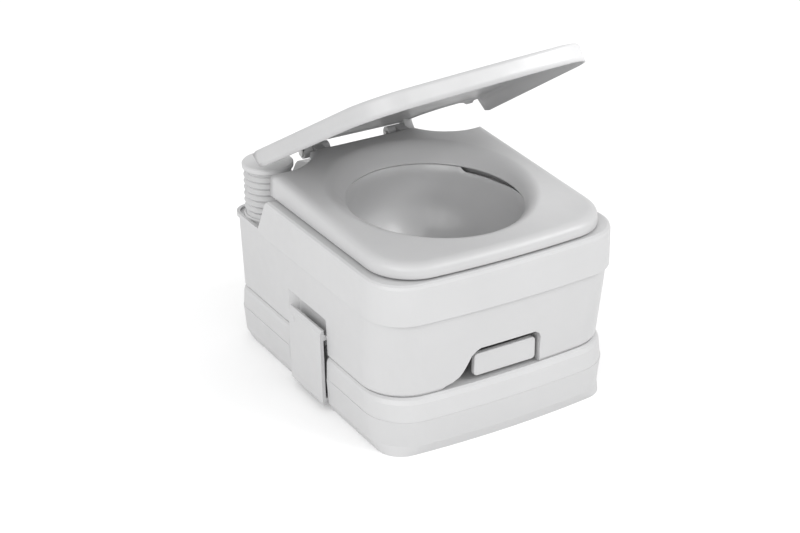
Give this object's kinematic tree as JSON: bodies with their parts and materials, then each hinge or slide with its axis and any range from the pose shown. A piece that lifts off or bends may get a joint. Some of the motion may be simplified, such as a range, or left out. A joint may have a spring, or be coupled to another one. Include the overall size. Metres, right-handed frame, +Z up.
{
  "type": "cassette toilet",
  "caption": "Portable two-tank camping toilet: flush tank latched on a waste tank, round bowl, hinged seat and lid, bellows pump, fill cap and pull-out slide valve.",
  "frame": {"origin": "on the floor under the middle of the bounding box, latches included, with the lid part open", "axes": "+Z up, -Y the front where the slide valve's handle is, +X to the right of someone facing the front"},
  "size_m": [0.3456, 0.393, 0.4462],
  "materials": {
    "casing": "moulded polyethylene, fine texture, satin",
    "seat": "moulded polypropylene, satin",
    "lid": "moulded polypropylene, satin",
    "bowl": "smooth moulded polypropylene",
    "bellows": "blow-moulded soft polyethylene",
    "valve_plastic": "moulded acetal",
    "pin_plastic": "moulded nylon",
    "rubber": "nitrile",
    "hose": "translucent silicone hose",
    "steel": "stainless steel"
  },
  "bodies": {
    "waste_tank": {"waste_tank_lower": "casing", "waste_tank_upper": "casing", "latch_pin_left": "steel", "latch_pin_right": "steel", "valve_gasket": "rubber", "valve_base": "valve_plastic", "valve_cover": "valve_plastic", "valve_lip_seal": "rubber", "valve_screws": "steel"},
    "latch_left": {"latch_left": "casing"},
    "latch_right": {"latch_right": "casing"},
    "valve_slide": {"valve_blade": "valve_plastic", "valve_handle": "casing", "handle_screws": "steel"},
    "flush_unit": {"flush_tank": "casing", "top_housing": "casing", "bowl": "bowl", "bowl_gasket": "rubber", "bowl_clamp_ring": "valve_plastic", "hinge_block_left": "casing", "hinge_block_right": "casing", "hinge_pin_left": "pin_plastic", "hinge_pin_right": "pin_plastic", "hinge_screws": "steel", "pump_valve_plate": "valve_plastic", "pump_inlet_flap": "rubber", "pump_outlet_flap": "rubber", "pump_base_ring": "casing", "suction_tube": "hose", "flush_tube": "hose", "flush_nozzle": "valve_plastic", "fill_neck": "casing"},
    "seat": {"seat": "seat", "seat_bumpers": "rubber"},
    "lid": {"lid": "lid"},
    "pump": {"pump_cap": "casing", "pump_bellows": "bellows"},
    "fill_seal": {"fill_cap_seal": "rubber"},
    "fill_cap": {"fill_cap": "casing"}
  },
  "joints": [
    {"name": "unit_lift", "type": "slide", "parent": "waste_tank", "child": "flush_unit", "axis": [0, 0, 1], "range_m": [0, 0.15]},
    {"name": "seat_hinge", "type": "hinge", "parent": "flush_unit", "child": "seat", "pos_m": [0, 0.163, 0.25], "axis": [1, 0, 0], "range_deg": [-95, 0]},
    {"name": "lid_hinge", "type": "hinge", "parent": "seat", "child": "lid", "pos_m": [0, 0.163, 0.25], "axis": [-1, 0, 0], "range_deg": [-31.9, 65]},
    {"name": "pump_press", "type": "slide", "parent": "flush_unit", "child": "pump", "axis": [0, 0, -1], "range_m": [0, 0.03], "stiffness_N_per_m": 600, "springref_m": -0.004, "deforming": ["pump_bellows"]},
    {"name": "cap_lift", "type": "slide", "parent": "flush_unit", "child": "fill_seal", "axis": [0, 0, 1], "range_m": [0, 0.035]},
    {"name": "cap_turn", "type": "hinge", "parent": "fill_seal", "child": "fill_cap", "pos_m": [0.132, 0.16, 0.192], "axis": [0, 0, 1], "range_deg": [0, 90]},
    {"name": "valve_pull", "type": "slide", "parent": "waste_tank", "child": "valve_slide", "axis": [0, -1, 0], "range_m": [0, 0.09]},
    {"name": "latch_left_swing", "type": "hinge", "parent": "waste_tank", "child": "latch_left", "pos_m": [-0.161, 0, 0.014], "axis": [0, -1, 0], "range_deg": [-1.4, 80]},
    {"name": "latch_right_swing", "type": "hinge", "parent": "waste_tank", "child": "latch_right", "pos_m": [0.161, 0, 0.014], "axis": [0, 1, 0], "range_deg": [-1.4, 80]}
  ]
}
